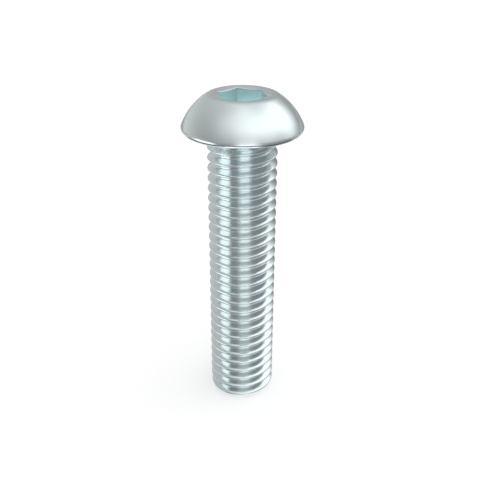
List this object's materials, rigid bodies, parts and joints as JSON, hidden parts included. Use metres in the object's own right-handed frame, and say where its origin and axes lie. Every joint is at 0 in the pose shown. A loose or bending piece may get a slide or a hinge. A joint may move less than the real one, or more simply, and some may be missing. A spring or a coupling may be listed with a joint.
{
  "type": "button head screw",
  "caption": "Button head machine screw with a hexagon socket in a low dome and a straight threaded shank with a chamfered end.",
  "frame": {"origin": "centre of the flat end face at the point of the screw, which it stands on", "axes": "+Z along the screw from its end face to its head; +X through a corner of the hexagon socket; -Y towards the viewer of the reference view, turned 18 degrees"},
  "size_m": [0.0136, 0.0136, 0.0391],
  "materials": {
    "plated_steel": "smooth bright zinc plating, satin to gloss, with a faint blue-green cast"
  },
  "bodies": {
    "root": {"button_head_screw": "plated_steel"}
  },
  "joints": []
}
